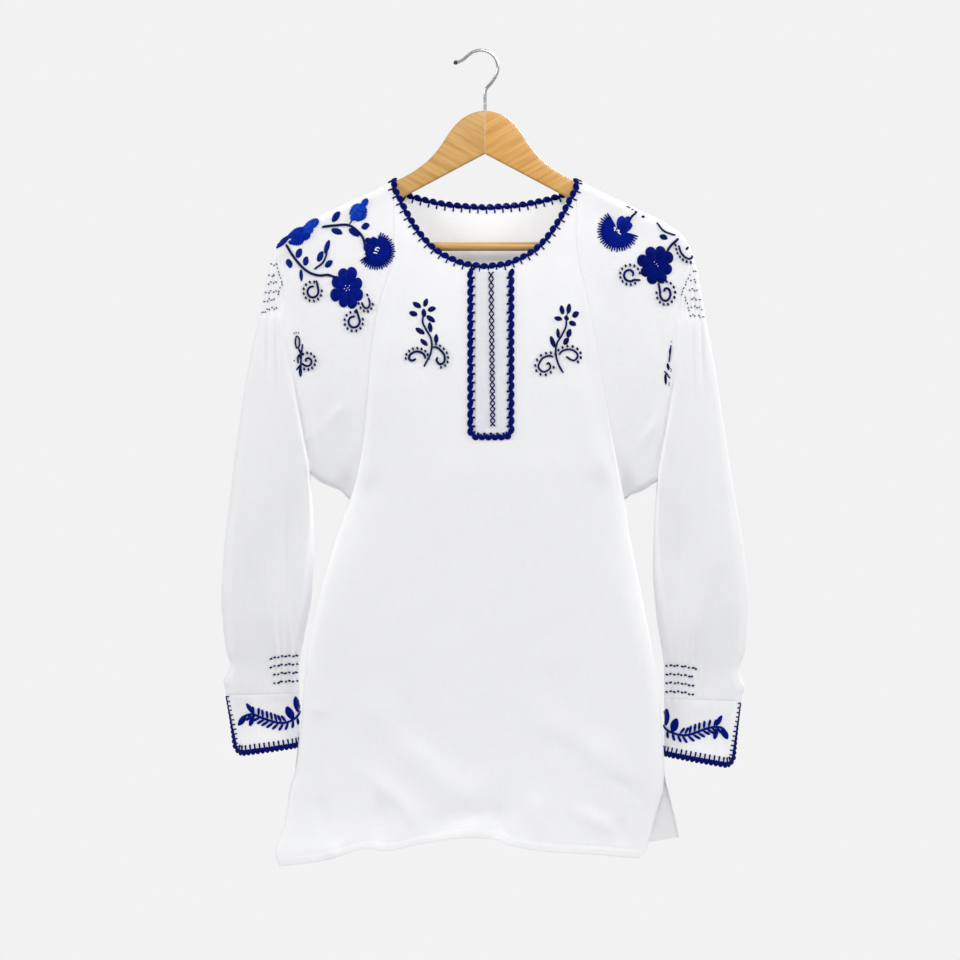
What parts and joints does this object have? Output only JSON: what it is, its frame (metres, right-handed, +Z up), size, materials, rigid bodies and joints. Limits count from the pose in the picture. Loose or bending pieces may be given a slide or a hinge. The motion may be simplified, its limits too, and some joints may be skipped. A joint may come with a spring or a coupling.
{
  "type": "embroidered folk blouse on a wooden hanger",
  "caption": "White cotton pull-over blouse with raglan sleeves, blue embroidery and stitched edges, hung flat on a wooden hanger.",
  "frame": {"origin": "underside of the hook's arc, where it sits on its rail", "axes": "+Z up, the blouse's front faces -Y, +X to the right as seen from the front"},
  "size_m": [0.6016, 0.0741, 0.9306],
  "materials": {
    "cotton": "plain-woven white cotton, matt",
    "embroidery_thread": "stranded cotton thread, royal blue, soft sheen",
    "varnished_beech": "beech under clear satin varnish",
    "steel_wire": "bright plated steel wire",
    "hook_tip": "dark moulded end"
  },
  "bodies": {
    "root": {"front": "cotton", "back": "cotton", "sleeve_left": "cotton", "sleeve_right": "cotton", "cuff_left": "cotton", "cuff_right": "cotton", "placket": "cotton", "placket_border": "embroidery_thread", "neck_edging": "embroidery_thread", "cuff_edging_left": "embroidery_thread", "cuff_edging_right": "embroidery_thread", "hanger_arm_left": "varnished_beech", "hanger_arm_right": "varnished_beech", "trouser_bar": "varnished_beech", "hook": "steel_wire", "hook_tip": "hook_tip"}
  },
  "joints": []
}
